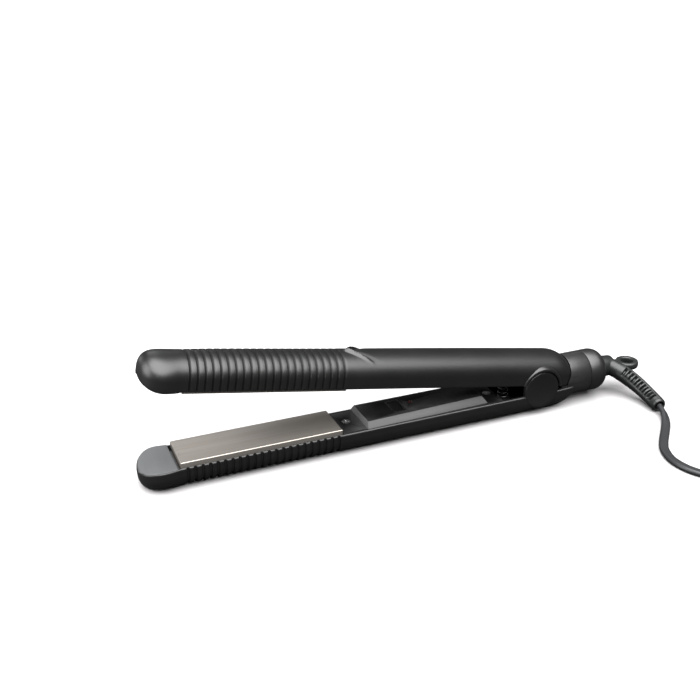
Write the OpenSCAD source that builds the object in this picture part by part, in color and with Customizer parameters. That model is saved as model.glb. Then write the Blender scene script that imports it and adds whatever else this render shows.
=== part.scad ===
// Flat iron with two hinged arms, floating heated plates and a swivelling cord.
// Every sub-part is drawn in the frame of the lower arm: X runs from the tip to the tail,
// X = 0 at the tip end of the plates, Z = 0 at the lower rim. arm_frame() moves it to the row frame,
// whose origin is the middle of the flat that the iron lies on.

/* [Plates] */
// Length of a heated plate
plate_len = 90; // [86:1:94]
// Width of a heated plate (one inch)
plate_w = 25.4; // [24.6:0.1:25.6]
// Thickness of a heated plate
plate_t = 3; // [2.5:0.1:3.2]
// How far the lower plate stands out of its rim
lower_proud = 2.8; // [2.2:0.1:2.8]
// How far the upper plate stands out of its rim
upper_proud = 1.4; // [1:0.1:1.4]
// How far a plate sinks on its cushions
float_travel = 0.6; // [0.3:0.1:0.8]

/* [Arms] */
// Width of an arm
arm_w = 28; // [27.6:0.2:29]
// Height of the upright side wall of the lower arm
lower_wall = 4; // [3.6:0.1:4.4]
// Height of the upright side wall of the upper arm
upper_wall = 6; // [5.6:0.1:6.4]
// Height of the domed back above the side walls
dome_h = 10.6; // [10.2:0.1:11]
// Wall thickness of the shells
shell_t = 1.8; // [1.6:0.1:2]
// Depth of the flat on the back of the lower arm, below the rim
rest_h = 13.6; // [13.2:0.1:13.8]
// Length of the nose in front of the plates
nose_len = 20.5; // [19:0.5:22]
// Greatest width of the nose
nose_w = 30.4; // [29.6:0.2:31]

/* [Ribs] */
// Distance from one groove to the next
rib_pitch = 4; // [3.8:0.1:4]
// Number of ribs between the grooves
rib_count = 21; // [18:1:21]
// Width of a groove
groove_w = 0.9; // [0.7:0.1:1.1]
// Depth of a groove
groove_d = 0.5; // [0.3:0.1:0.6]

/* [Hinge] */
// Distance from the tip end of the plates to the hinge axis
hinge_x = 216; // [214:1:218]
// Distance between the two rims when the iron is closed
rim_gap = 5; // [5:0.1:5.4]
// Angle between the arms at rest
open_angle = 10.15; // [9:0.05:10.5]
// Radius of the hinge ears
ear_r = 11.3; // [11:0.1:11.5]
// Radius of the hinge pin
pin_r = 2; // [1.8:0.1:2.2]

/* [Handle] */
// Where the raised platform of the inner cover starts
platform_x = 105; // [104:1:108]
// Length of the platform
platform_len = 76; // [72:1:76]
// Height of the platform at its tip end
platform_h = 3.5; // [3:0.1:3.6]
// Middle of the rocker switch
switch_x = 127.5; // [126:0.5:132]

/* [Tail] */
// Radius of the tail collar
collar_r = 12.8; // [12.4:0.1:13]
// Seam between the collar and the end cap
seam_x = 252; // [251:1:253]
// Length of the end cap
cap_len = 13; // [12.5:0.5:14]
// Radius of the swivel neck
neck_r = 5.8; // [5.4:0.1:6]
// Radius of the hole in the hanging loop
loop_hole_r = 4; // [3.5:0.1:4.2]
// Outer radius of the hanging loop
loop_r = 6.9; // [6.6:0.1:7.4]

/* [Cord] */
// Width of the flat twin cord
cord_w = 5.2; // [5:0.1:5.4]
// Thickness of the flat twin cord
cord_t = 3.2; // [3:0.1:3.4]
// Radius of the innermost turn of the coil
coil_in_r = 24.8; // [24:0.1:25.5]
// Turns side by side in one layer of the coil
coil_turns = 3; // [3:1:3]
// Layers in the coil
coil_layers = 3; // [3:1:3]

/* [Hidden] */
$fn = 48;

gap = 0.15;              // play between fitted pieces
eps = 0.01;
arm_r = arm_w / 2;
nose_r = nose_w / 2;
bulge_x = -8;            // where the nose is widest
nose_run = nose_len + bulge_x;
tail_x = 222;            // where the arms start to taper towards the tail
upper_end_x = 237.3;     // end of the upper shell
lower_end_x = 239;       // end of the lower shell
rest_mid = 120;          // middle of the flat along the arm
screw_at = [97, 186.5];  // screws of the inner covers
hinge_z = rim_gap / 2;
arc_steps = 14;          // facets of the domed back
shell_color = [0.17, 0.17, 0.175];
plate_color = [0.50, 0.45, 0.40];

// ---- frames -------------------------------------------------------------------------------

// Lower arm frame to row frame
module arm_frame() translate([-rest_mid, 0, rest_h]) children();

// Closed upper arm to its rest pose, turned open about the hinge axis
module upper_frame()
    arm_frame()
        translate([hinge_x, 0, hinge_z])
            rotate([0, open_angle, 0])
                translate([-hinge_x, 0, -hinge_z]) children();

// The upper arm is drawn like the lower one, back down, and turned over
module turned_over() upper_frame() translate([0, 0, rim_gap]) mirror([0, 0, 1]) children();

// Profile in Y and Z, extruded from x0 to x1
module along_x(x0, x1) translate([x0, 0, 0]) rotate([90, 0, 90]) linear_extrude(x1 - x0) children();

// Solid of revolution about the tail axis: the profile gives radius and X
module about_tail_axis() translate([0, 0, hinge_z]) rotate([0, 90, 0]) rotate_extrude() children();

module box(low, high) translate(low) cube(high - low);

// Cylinder across the arm, on the hinge axis
module hinge_rod(r, y0, y1) translate([hinge_x, y1, hinge_z]) rotate([90, 0, 0]) cylinder(r = r, h = y1 - y0);

// ---- swept and lofted surfaces --------------------------------------------------------------

// Closed solid through rings of equal length
module loft(rings) {
    m = len(rings[0]);
    n = len(rings);
    sides = [for (i = [0:n - 2], j = [0:m - 1])
        let (a = i * m + j, b = i * m + (j + 1) % m)
            each [[a, b, b + m], [a, b + m, a + m]]];
    start = [for (j = [m - 1:-1:0]) j];
    finish = [for (j = [0:m - 1]) (n - 1) * m + j];
    polyhedron(points = [for (r = rings) each r], faces = concat([start], sides, [finish]));
}

function unit(v) = v / norm(v);
function backwards(ring) = [for (i = [len(ring) - 1:-1:0]) ring[i]];

// Ring of an oval section around a point of a path
function oval_ring(p, dir, half_w, half_t, sides) =
    let (side = unit(cross(dir, [0, 0, 1])), up = cross(side, dir))
    [for (k = [0:sides - 1]) let (a = 360 * k / sides) p + side * half_w * cos(a) + up * half_t * sin(a)];

// Directions along a path of points
function path_dir(p, i) = unit(p[min(i + 1, len(p) - 1)] - p[max(i - 1, 0)]);

// Tube of an oval section along a path; the half sizes run from first to last
module oval_tube(path, first, last, sides) {
    n = len(path) - 1;
    loft([for (i = [0:n])
        let (size = first + (last - first) * i / n)
            oval_ring(path[i], path_dir(path, i), size[0], size[1], sides)]);
}

// Smooth curve through control points, with a few points between each pair
function curve_point(a, b, c, d, t) =
    0.5 * ((2 * b) + (c - a) * t + (2 * a - 5 * b + 4 * c - d) * t * t + (3 * b - a - 3 * c + d) * t * t * t);
function smooth_path(p, steps) = [
    for (i = [0:len(p) - 2], k = [0:steps - 1])
        curve_point(p[max(i - 1, 0)], p[i], p[i + 1], p[min(i + 2, len(p) - 1)], k / steps),
    p[len(p) - 1]];

// ---- outline of an arm ----------------------------------------------------------------------

// 0 at the widest place of the nose, 1 at its tip
function nose_t(x) = min(max((bulge_x - x) / nose_run, 0), 1);
// 0 where the tail taper starts, 1 at its end
function tail_t(x) = min(max((x - tail_x) / (lower_end_x - tail_x), 0), 1);
function rounded(t, power) = pow(1 - pow(t, power), 1 / power);

// Half width of an arm at x
function half_width(x) =
    x < bulge_x ? nose_r * rounded(nose_t(x), 2.2)
    : x < 2 ? arm_r + (nose_r - arm_r) * (0.5 + 0.5 * cos(180 * (x - bulge_x) / (2 - bulge_x)))
    : arm_r - 1.2 * (1 - rounded(tail_t(x), 2));
// Depth of the rim below its straight line: it turns away at the tip
function rim_depth(x) = 5 * (1 - rounded(nose_t(x), 2.2));
// Depth of the back below the rim line
function back_depth(x, depth) =
    x < bulge_x ? 5 + (depth - 5) * rounded(nose_t(x), 3)
    : depth - 6.5 * (1 - rounded(tail_t(x), 2));

// Section of an arm at x: chamfered rim, upright wall, domed back, cut off at the flat
function arm_ring(x, wall, inset, flat, steps) =
    let (w = half_width(x) - inset,
         z0 = inset > 0 ? -1 : rim_depth(x),
         z1 = back_depth(x, wall + dome_h) - inset,
         zr = max(z0, 0),
         zw = zr + (z1 - zr) * wall / (wall + dome_h),
         c = inset > 0 ? 0.01 : min(0.9, w / 3))
    concat([[x, -w + c, -z0], [x, -w, -z0 - c]],
           [for (k = [0:steps]) let (a = 180 * k / steps)
               [x, -w * cos(a), -min(max(zw, z0 + c + 0.01) + (z1 - zw) * sin(a), flat - inset)]],
           [[x, w, -z0 - c], [x, w - c, -z0]]);

nose_steps = [for (k = [0:9]) bulge_x - nose_run * sin(9.6 * k)];
outer_x = concat([for (k = [9:-1:0]) nose_steps[k]], [-5, -2, 2]);

module arm_outside(wall, flat, end_x) {
    tail = [for (k = [0:5]) tail_x + (end_x - tail_x) * k / 5];
    loft([for (x = concat(outer_x, tail)) backwards(arm_ring(x, wall, 0, flat, arc_steps))]);
}

module arm_inside(wall, flat, end_x) {
    tail = [for (k = [0:2]) tail_x + (end_x - shell_t - tail_x) * k / 2];
    nose = [-nose_len + 2 * shell_t, -16, -15, -14, -12, -10, bulge_x, -5, 0];
    loft([for (x = concat(nose, tail)) backwards(arm_ring(x, wall, shell_t, flat, 10))]);
}

// Grooves between the ribs: slabs outside a slightly smaller section
module grooves(wall) {
    for (k = [0:rib_count])
        along_x(3.5 + k * rib_pitch - groove_w / 2, 3.5 + k * rib_pitch + groove_w / 2)
            difference() {
                translate([-20, -20]) square([40, 20 - 0.9]);
                polygon([for (p = arm_ring(50, wall, 0, 99, arc_steps))
                    [p[1] * (1 - groove_d / arm_r), p[2] + groove_d + (p[2] > -wall ? 2 : 0)]]);
            }
}

// Shell of one arm, back down
module arm_shell(wall, flat, end_x) {
    difference() {
        arm_outside(wall, flat, end_x);
        arm_inside(wall, flat, end_x);
        // mouth for the plate, a little wider than the rest
        box([-2, -plate_w / 2 - gap, -5], [plate_len + 0.6, plate_w / 2 + gap, 1]);
        grooves(wall);
    }
}

// ---- lower arm --------------------------------------------------------------------------------

ear_y0 = 11.6;           // inner face of the hinge ears
ear_y1 = arm_r + 0.2;    // outer face
spring_x = 198;
spring_foot_z = -5;

module hinge_ear(side) {
    y0 = side > 0 ? ear_y0 : -ear_y1;
    y1 = side > 0 ? ear_y1 : -ear_y0;
    difference() {
        hinge_rod(ear_r, y0, y1);
        box([hinge_x - 20, -20, -20], [hinge_x + 20, 20, -lower_wall]);
    }
}

module lower_shell() {
    color(shell_color) arm_frame() difference() {
        union() {
            arm_shell(lower_wall, rest_h, lower_end_x);
            for (side = [-1, 1]) hinge_ear(side);
            // post under the opening spring
            translate([spring_x, 0, -rest_h + shell_t - 0.2])
                cylinder(r = 4.2, h = spring_foot_z + rest_h - shell_t + 0.2);
            // screw posts
            for (x = screw_at)
                translate([x, 0, -rest_h + shell_t - 0.2]) cylinder(r = 3, h = rest_h - shell_t - 1.6);
            // pegs under the circuit board
            for (x = [122, 168], y = [-5, 5])
                translate([x, y, -rest_h + shell_t - 0.2]) cylinder(r = 1.5, h = rest_h - shell_t - 8);
        }
        hinge_rod(pin_r + 0.02, -12.8, 12.8);
        for (x = screw_at) translate([x, 0, -9]) cylinder(r = 1.2, h = 12);
        // collar seat in the end wall
        translate([lower_end_x - 4, 0, hinge_z]) rotate([0, 90, 0]) cylinder(r = collar_r - 2.6, h = 6);
    }
}

// Lid of the nose, following the curve of its rim
module tip_cap() {
    inset = shell_t + gap;
    xs = [-nose_len + 4, -16, -15, -14, -12, -10, bulge_x, -5, -2.4];
    loft([for (x = xs)
        let (w = half_width(x) - inset, z = rim_depth(x))
            [[x, w, -z], [x, w, -z - 1.6], [x, -w, -z - 1.6], [x, -w, -z]]]);
    // end wall of the slot before the plate
    box([-3.4, -12, -4], [-2.4, 12, -1.6]);
}

module lower_tip_cap() { color([0.45, 0.46, 0.47]) arm_frame() tip_cap(); }

// Plate with bevelled edges, its face at z = proud
module plate(proud) {
    bevel = 0.7;
    h = plate_w / 2;
    z0 = proud - plate_t;
    intersection() {
        along_x(0, plate_len)
            polygon([[-h, z0], [h, z0], [h, proud - bevel], [h - bevel, proud], [bevel - h, proud], [-h, proud - bevel]]);
        translate([0, h, 0]) rotate([90, 0, 0]) linear_extrude(plate_w)
            polygon([[0, z0], [plate_len, z0], [plate_len, proud - bevel], [plate_len - bevel, proud],
                     [bevel, proud], [0, proud - bevel]]);
    }
}

// Heat-proof tray under a plate; it holds the heater and slides in the arm
module carrier(proud) {
    z1 = proud - plate_t;
    difference() {
        box([0.5, -11.5, z1 - 4.4], [plate_len - 0.5, 11.5, z1]);
        box([12, -8, z1 - 3.2], [plate_len - 12, 8, z1 + 1]);
    }
}

module heater(proud) {
    z1 = proud - plate_t;
    box([14, -7, z1 - 2.2], [plate_len - 14, 7, z1]);
}

module thermal_fuse(proud) {
    translate([35, 5.4, proud - plate_t - 2.7]) rotate([0, 90, 0]) cylinder(r = 0.45, h = 12, $fn = 24);
}

// Two silicone blocks between a carrier and the back of the shell
module cushions(proud, depth) {
    z1 = proud - plate_t - 4.4;
    for (x = [22, 68]) box([x - 6, -3.6, -depth + shell_t], [x + 6, 3.6, z1]);
}

module lower_plate() { color(plate_color) arm_frame() plate(lower_proud); }
module lower_carrier() { color([0.55, 0.50, 0.44]) arm_frame() carrier(lower_proud); }
module lower_heater() { color([0.85, 0.80, 0.70]) arm_frame() heater(lower_proud); }
module lower_thermal_fuse() { color("silver") arm_frame() thermal_fuse(lower_proud); }
module lower_cushions() { color([0.75, 0.35, 0.25]) arm_frame() cushions(lower_proud, rest_h); }

// Two lead wires from the heater to the handle
module leads(z, x1) {
    for (y = [-8.5, 8.5])
        translate([plate_len - 0.3, y, z]) rotate([0, 90, 0]) cylinder(r = 0.9, h = x1 - plate_len, $fn = 24);
}

module lower_leads() { color([0.80, 0.78, 0.70]) arm_frame() leads(-5.7, 126); }

// Flat inner cover with the raised platform
cover_t = 1.5;
cover_end_x = 191;
module platform() {
    x1 = platform_x + platform_len;
    hull() {
        box([platform_x, -13, 0], [platform_x + 0.1, 13, 0.1]);
        box([x1, -11.2, 0], [x1 + 0.1, 11.2, 0.1]);
        box([platform_x + 1, -10.6, platform_h - 0.1], [platform_x + 1.1, 10.6, platform_h]);
        box([x1 - 3, -9.2, platform_h + 0.7], [x1 - 2.9, 9.2, platform_h + 0.8]);
    }
}

module lower_cover() {
    inner = arm_r - shell_t - gap;
    color([0.22, 0.22, 0.22]) arm_frame() difference() {
        union() {
            box([plate_len + 0.9, -inner, -cover_t], [cover_end_x, inner, 0]);
            platform();
        }
        // pocket of the switch
        box([switch_x - 4, -7, -3], [switch_x + 4, 7, 9]);
        // indicator lens
        translate([switch_x + 9.5, 1.4, -3]) cylinder(r = 1.3, h = 12);
        // countersunk screw holes
        for (x = screw_at) {
            translate([x, 0, -3]) cylinder(r = 1.7, h = 12);
            translate([x, 0, -0.9]) cylinder(r = 2.9, h = 9);
        }
    }
}

module cover_screw(x, z) {
    translate([x, 0, z]) difference() {
        union() {
            cylinder(r = 2.5, h = 1.1);
            translate([0, 0, -7]) cylinder(r = 1.15, h = 7.5);
        }
        for (a = [0, 90]) rotate(a) translate([-1.4, -0.3, 0.6]) cube([2.8, 0.6, 1]);
    }
}

module lower_cover_screws() {
    color("silver") arm_frame() {
        cover_screw(screw_at[0], -0.9);
        cover_screw(screw_at[1], -0.9);
    }
}

// ---- switch -----------------------------------------------------------------------------------

switch_top = platform_h + 0.25;
rocker_tilt = 8;
rocker_axis_z = switch_top - 2.4;

module switch_frame() {
    color([0.10, 0.10, 0.10]) arm_frame() difference() {
        box([switch_x - 3.9, -6.9, -6], [switch_x + 3.9, 6.9, switch_top]);
        box([switch_x - 3, -6, -5], [switch_x + 3, 6, 9]);
        translate([switch_x - 5, 0, rocker_axis_z]) rotate([0, 90, 0]) cylinder(r = 0.65, h = 10, $fn = 24);
    }
}

// Rocker, tipped to its off position, on two stub pins
module rocker_switch() {
    color([0.14, 0.14, 0.15]) arm_frame()
        translate([switch_x, 0, rocker_axis_z]) rotate([rocker_tilt, 0, 0]) {
            along_x(-2.7, 2.7)
                polygon([[-5.2, -1], [-5.2, 2.4], [0, 1.7], [5.2, 2.4], [5.2, -1], [2, -3], [-2, -3]]);
            translate([-3.8, 0, 0]) rotate([0, 90, 0]) cylinder(r = 0.6, h = 7.6, $fn = 24);
        }
}

module indicator_lens() {
    color([0.75, 0.10, 0.08]) arm_frame()
        translate([switch_x + 9.5, 1.4, -1]) cylinder(r = 1.2, h = platform_h + 1.2);
}

module circuit_board() {
    color([0.10, 0.35, 0.20]) arm_frame() box([118, -9, -8.2], [172, 9, -6.6]);
}

module board_components() {
    color([0.20, 0.20, 0.22]) arm_frame() {
        box([144, -6, -6.6], [156, 6, -2.4]);
        box([160, -7, -6.6], [168, -1, -3.6]);
        translate([163, 4, -6.6]) cylinder(r = 2.4, h = 4.6);
        translate([switch_x + 9.5, 1.4, -6.6]) cylinder(r = 1, h = 5.4);
    }
}

// ---- hinge ------------------------------------------------------------------------------------

barrel_r = 5;
barrel_y = 11.3;
bush_r = 3.2;

module hinge_pin() { color("silver") arm_frame() hinge_rod(pin_r, -12.7, 12.7); }

module hinge_bushes() {
    color([0.72, 0.60, 0.35]) upper_frame()
        for (side = [-1, 1])
            difference() {
                hinge_rod(bush_r, side > 0 ? barrel_y - 6 : -barrel_y, side > 0 ? barrel_y : -barrel_y + 6);
                hinge_rod(pin_r + 0.05, -20, 20);
            }
}

// Compression spring between the arms, as a coil of round wire
spring_turns = 4.5;
spring_r = 3;
spring_wire_r = 0.45;
spring_height = 13.2;
module opening_spring() {
    steps = 54;
    coil = [for (k = [0:steps]) let (a = 360 * spring_turns * k / steps)
        [spring_r * cos(a), spring_r * sin(a), spring_wire_r + (spring_height - 2 * spring_wire_r) * k / steps]];
    color([0.70, 0.70, 0.72]) arm_frame()
        translate([spring_x, 0, spring_foot_z]) oval_tube(coil, [spring_wire_r, spring_wire_r],
                                                          [spring_wire_r, spring_wire_r], 6);
}

// ---- upper arm --------------------------------------------------------------------------------

// Raised lip around the ear, on both sides of the upper shell
module arch_lip() {
    difference() {
        hinge_rod(ear_r + 2.6, -arm_r - 0.5, arm_r + 0.5);
        hinge_rod(ear_r + 0.5, -20, 20);
        hinge_rod(ear_r + 3, -12.6, 12.6);
        box([hinge_x - 20, -20, -20], [hinge_x + 20, 20, rim_gap + 2]);
    }
}

// Crescent thumb stop, swept back on both sides
stop_x = 96;
module thumb_stop() {
    depth = upper_wall + dome_h;
    crest = [for (k = [-6:6])
        let (a = 8.5 * k, y = arm_r * sin(a), z = upper_wall + dome_h * cos(a))
            [stop_x + 11 * pow(abs(k) / 6, 1.7), y, rim_gap + z - 0.3]];
    size = 2.2;
    loft([for (i = [0:12])
        let (p = crest[i], s = size * (1 - 0.55 * abs(i - 6) / 6), a = 8.5 * (i - 6))
            [for (q = [[1, -0.3], [0.5, 0.75], [-0.2, 0.85], [-1.5, -0.3]])
                p + [q[0] * s, q[1] * s * sin(a), q[1] * s * cos(a)]]]);
}

module upper_shell() {
    color(shell_color) difference() {
        union() {
            turned_over() arm_shell(upper_wall, 99, upper_end_x);
            upper_frame() arch_lip();
            upper_frame() thumb_stop();
            turned_over() for (x = screw_at) translate([x, 0, -16]) cylinder(r = 3, h = 14.2);
        }
        upper_frame() {
            hinge_rod(ear_r + 0.5, -20, -11.4);
            hinge_rod(ear_r + 0.5, 11.4, 20);
            // the barrel of the inner cover passes through
            hinge_rod(barrel_r + 0.3, -12, 12);
        }
        turned_over() {
            for (x = screw_at) translate([x, 0, -9]) cylinder(r = 1.2, h = 12);
            // open end around the collar
            translate([upper_end_x - 4, 0, hinge_z]) rotate([0, 90, 0]) cylinder(r = 9.5, h = 6);
        }
    }
}

module upper_tip_cap() { color([0.30, 0.31, 0.32]) turned_over() tip_cap(); }
module upper_plate() { color(plate_color) turned_over() plate(upper_proud); }
module upper_carrier() { color([0.55, 0.50, 0.44]) turned_over() carrier(upper_proud); }
module upper_heater() { color([0.85, 0.80, 0.70]) turned_over() heater(upper_proud); }
module upper_thermal_fuse() { color("silver") turned_over() thermal_fuse(upper_proud); }
module upper_cushions() { color([0.75, 0.35, 0.25]) turned_over() cushions(upper_proud, upper_wall + dome_h - 0.6); }
module upper_leads() { color([0.80, 0.78, 0.70]) turned_over() leads(-5.7, 200); }

// Flat inner cover of the upper arm with the hinge barrel
module upper_cover() {
    inner = arm_r - shell_t - gap;
    color([0.20, 0.20, 0.20]) upper_frame() difference() {
        union() {
            box([plate_len + 0.9, -inner, rim_gap], [hinge_x - 13, inner, rim_gap + cover_t]);
            box([hinge_x - 14, -barrel_y, rim_gap], [hinge_x - 5, barrel_y, rim_gap + cover_t]);
            box([hinge_x - 6, -barrel_y, rim_gap - 1], [hinge_x + 2, barrel_y, rim_gap + cover_t]);
            hinge_rod(barrel_r, -barrel_y, barrel_y);
        }
        hinge_rod(pin_r + 0.3, -20, 20);
        hinge_rod(bush_r + 0.02, barrel_y - 6, 20);
        hinge_rod(bush_r + 0.02, -20, -barrel_y + 6);
        for (x = screw_at) translate([x, 0, 0]) {
            cylinder(r = 1.7, h = 12);
            cylinder(r = 2.9, h = rim_gap + 0.9);
        }
    }
}

module upper_cover_screws() {
    color("silver") turned_over() {
        cover_screw(screw_at[0], -0.9);
        cover_screw(screw_at[1], -0.9);
    }
}

// ---- tail -------------------------------------------------------------------------------------

cap_end_x = seam_x + cap_len;
module tail_collar() {
    color([0.19, 0.19, 0.19]) arm_frame() difference() {
        about_tail_axis() difference() {
            translate([0, 228]) square([collar_r, seam_x - 228]);
            translate([-1, 220]) square([collar_r - 1, 40]);
        }
        // slanted front, clear of the upper shell at rest
        translate([hinge_x, 0, hinge_z]) rotate([0, open_angle, 0])
            box([-40, -20, -2.5], [upper_end_x - hinge_x + 0.5, 20, 20]);
        box([200, -20, -20], [lower_end_x, 20, 0.02]);
    }
}

// Rounded end cap with the bore for the swivel neck
module tail_cap() {
    round_x = 6.6;
    end_r = 8;           // radius of the rounded end
    color([0.18, 0.18, 0.18]) arm_frame() about_tail_axis() difference() {
        polygon(concat([[0, seam_x], [collar_r, seam_x]],
            [for (k = [0:9]) let (a = 10 * k)
                [end_r + (collar_r - end_r) * cos(a), cap_end_x - round_x + round_x * sin(a)]],
            [[0, cap_end_x]]));
        translate([-1, seam_x - 1]) square([collar_r - 1, 7]);
        translate([-1, seam_x]) square([neck_r + 0.05 + 1, 40]);
    }
}

// Fixed contacts that press on the slip rings
module contact_block() {
    color([0.30, 0.28, 0.26]) arm_frame() about_tail_axis()
        difference() {
            translate([0, 243]) square([collar_r - 2.1, 2.5]);
            square([1.5, 400]);
        }
}

module slip_rings() {
    color([0.80, 0.65, 0.30]) arm_frame() about_tail_axis() {
        translate([2.2, 247]) square([2.2, 1.2]);
        translate([2.2, 249.4]) square([2.2, 1.2]);
    }
}

// Neck that turns in the end cap; its flange keeps it in
neck_end_x = 273;
module swivel_neck() {
    color([0.20, 0.21, 0.21]) arm_frame() about_tail_axis() {
        translate([0, 252.6]) square([neck_r, neck_end_x - 252.6]);
        translate([0, 252.6]) square([9.5, 2.4]);
        translate([0, 246]) square([2.18, 7]);
    }
}

// Flat eyelet to hang the iron up by
loop_x = 285.2;
loop_y = -2;
loop_t = 3.5;
module hang_loop() {
    color([0.20, 0.21, 0.21]) arm_frame() difference() {
        union() {
            translate([loop_x, loop_y, hinge_z - loop_t / 2]) cylinder(r = loop_r, h = loop_t);
            box([neck_end_x, -4.5, hinge_z - loop_t / 2], [loop_x - 4, 3.2, hinge_z + loop_t / 2]);
        }
        translate([loop_x, loop_y, -10]) cylinder(r = loop_hole_r, h = 30);
    }
}

// Slotted strain relief, curving down towards the floor
boot_path = [[272.4, -1, 2.5], [273.6, -4, 2.2], [276, -9, 0.7], [279.2, -15, -2], [281.6, -22, -4.9],
             [282.6, -29, -7.2], [282.6, -36, -8.7], [282.2, -39.5, -9.3]];
module cord_boot() {
    color([0.20, 0.21, 0.21]) arm_frame() difference() {
        oval_tube(smooth_path(boot_path, 3), [5.2, 5.2], [4.2, 4.2], 16);
        about_tail_axis() translate([0, seam_x]) square([neck_r + 0.02, neck_end_x - seam_x + 0.02]);
        box([neck_end_x - 1, -4.6, hinge_z - loop_t / 2 - 0.05], [loop_x + 5, 6, hinge_z + loop_t / 2 + 0.05]);
        translate([loop_x, loop_y, hinge_z - loop_t / 2 - 0.05]) cylinder(r = loop_r + 0.05, h = loop_t + 0.1);
        box([neck_end_x - 10, -2, -5], [neck_end_x + 10, 10, 12]);
    }
}

// ---- cord -------------------------------------------------------------------------------------

lead_path = [[282, -40.3, -9.45], [280, -47, -10.6], [275.3, -54.5, -11.7], [268.3, -62.5, -12],
             [261, -70.5, -12], [254.8, -79, -12], [251.5, -90, -12], [253.5, -101.5, -12],
             [259.8, -110.6, -12], [269, -116.8, -11.8], [280, -119, -11.4]];
coil_z = 0.6;
coil_pitch = 5.33;
coil_out_r = coil_in_r + coil_pitch * (coil_turns - 1);
coil_at = [280, -119 - coil_out_r, -rest_h];
coil_h = coil_layers * cord_t + 0.2;
tail_path = [[-24.8, 0, 12.1], [-24.8, 7, 12.1], [-24.8, 14, 12.1], [-21.5, 26.4, 12.1], [-12.4, 35.5, 12.2],
             [0, 38.8, 12.6], [12.4, 35.5, 14], [21.5, 26.4, 16], [24.8, 14, 17.4]];

module cord_lead() {
    color([0.22, 0.23, 0.24]) arm_frame()
        oval_tube(smooth_path(lead_path, 2), [cord_w / 2, cord_t / 2], [cord_w / 2, cord_t / 2], 8);
}

// From the top of the coil, round to the plug
module cord_tail() {
    color([0.22, 0.23, 0.24]) arm_frame() translate(coil_at)
        oval_tube(smooth_path(tail_path, 2), [cord_w / 2, cord_t / 2], [cord_w / 2, cord_t / 2], 8);
}

module cord_coil() {
    color([0.22, 0.23, 0.24]) arm_frame() translate(coil_at) rotate_extrude()
        translate([coil_in_r - cord_w / 2, coil_z]) square([coil_out_r - coil_in_r + cord_w, coil_h]);
}

// Strap around the turns
module coil_tie() {
    r0 = coil_in_r - cord_w / 2 - 0.8;
    r1 = coil_out_r + cord_w / 2 + 0.1;
    color([0.08, 0.08, 0.08]) arm_frame() translate(coil_at) rotate(-120) difference() {
        box([r0 - 0.5, -5, 0], [r1 + 0.5, 5, coil_z + coil_h + 0.6]);
        box([r0, -6, coil_z - 0.05], [r1, 6, coil_z + coil_h + 0.05]);
    }
}

// Plug, lying on the coil along a tangent
plug_turn = -90;
plug_z = coil_z + coil_h;
module plug_frame() arm_frame() translate(coil_at) translate([24.8, -16, plug_z]) rotate(plug_turn) children();

module plug_relief() {
    color([0.12, 0.12, 0.12]) plug_frame()
        translate([-29.9, 0, 7]) rotate([0, 90, 0]) cylinder(r1 = 3, r2 = 4.2, h = 21.9);
}

module plug_body() {
    color([0.12, 0.12, 0.12]) plug_frame() hull() {
        box([-8, -7, 2], [-7, 7, 12]);
        box([-2, -12, 0], [14, 12, 14]);
        box([14, -11, 1], [16, 11, 13]);
    }
}

module plug_blades() {
    color([0.78, 0.70, 0.45]) plug_frame()
        for (y = [-6.35, 6.35]) box([16, y - 0.75, 3.85], [32.5, y + 0.75, 10.15]);
}

// ---- assembly ---------------------------------------------------------------------------------

lower_shell();
lower_tip_cap();
lower_cover();
lower_cover_screws();
lower_plate();
lower_heater();
lower_carrier();
lower_thermal_fuse();
lower_cushions();
lower_leads();
switch_frame();
rocker_switch();
indicator_lens();
circuit_board();
board_components();
hinge_pin();
hinge_bushes();
opening_spring();
upper_shell();
upper_tip_cap();
upper_cover();
upper_cover_screws();
upper_plate();
upper_heater();
upper_carrier();
upper_thermal_fuse();
upper_cushions();
upper_leads();
tail_collar();
tail_cap();
contact_block();
slip_rings();
swivel_neck();
hang_loop();
cord_boot();
cord_lead();
cord_coil();
cord_tail();
coil_tie();
plug_relief();
plug_body();
plug_blades();
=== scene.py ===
"""Looks of a flat iron: two hinged arms with floating heated plates, and a swivelling cord."""
import math

import bmesh
import bpy
from mathutils import Matrix, Vector


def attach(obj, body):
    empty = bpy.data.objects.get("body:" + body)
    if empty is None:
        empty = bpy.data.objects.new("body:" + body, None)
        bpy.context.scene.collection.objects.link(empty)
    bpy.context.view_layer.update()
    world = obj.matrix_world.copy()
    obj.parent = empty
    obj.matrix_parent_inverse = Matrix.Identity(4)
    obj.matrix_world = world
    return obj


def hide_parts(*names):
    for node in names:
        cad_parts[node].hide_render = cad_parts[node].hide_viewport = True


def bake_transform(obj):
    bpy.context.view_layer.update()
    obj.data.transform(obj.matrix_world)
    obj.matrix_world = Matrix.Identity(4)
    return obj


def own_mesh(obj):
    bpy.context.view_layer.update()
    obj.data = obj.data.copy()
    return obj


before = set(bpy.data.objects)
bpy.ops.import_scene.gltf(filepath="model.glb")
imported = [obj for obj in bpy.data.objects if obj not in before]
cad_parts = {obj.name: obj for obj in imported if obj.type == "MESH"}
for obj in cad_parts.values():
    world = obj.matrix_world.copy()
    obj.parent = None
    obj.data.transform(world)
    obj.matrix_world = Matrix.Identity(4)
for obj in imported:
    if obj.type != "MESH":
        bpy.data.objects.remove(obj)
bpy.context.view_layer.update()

# ---- places ---------------------------------------------------------------------------------
# Shapes are drawn in millimetres in the frame of the closed iron: X runs from the tip end of the
# plates to the tail, Z = 0 is the lower arm's rim.

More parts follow.
